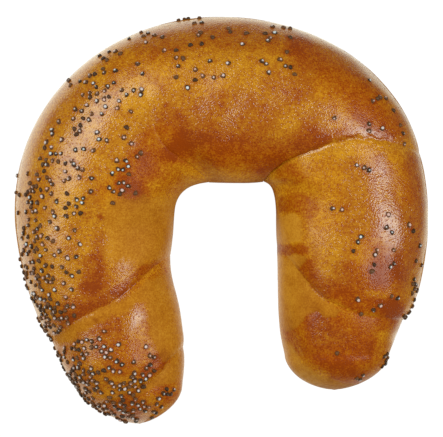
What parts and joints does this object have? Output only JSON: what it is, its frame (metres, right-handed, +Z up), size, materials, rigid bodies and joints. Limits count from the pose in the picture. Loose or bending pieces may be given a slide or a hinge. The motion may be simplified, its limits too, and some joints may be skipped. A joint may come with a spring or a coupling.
{
  "type": "croissant",
  "caption": "Horseshoe-shaped milk-bread croissant, rolled from a strip of dough, with a glossy golden-brown crust and poppy seeds along its outer side.",
  "frame": {"origin": "on the surface that the croissant lies on, under the middle of its bounding box", "axes": "+Z up from the flat base through the crown; the two tips point towards -Y and the arch towards +Y; +X to the right, seen from above with the arch away from the viewer"},
  "size_m": [0.1119, 0.1104, 0.0356],
  "materials": {
    "glazed_crust": null
  },
  "bodies": {
    "root": {"croissant": "glazed_crust"}
  },
  "joints": []
}
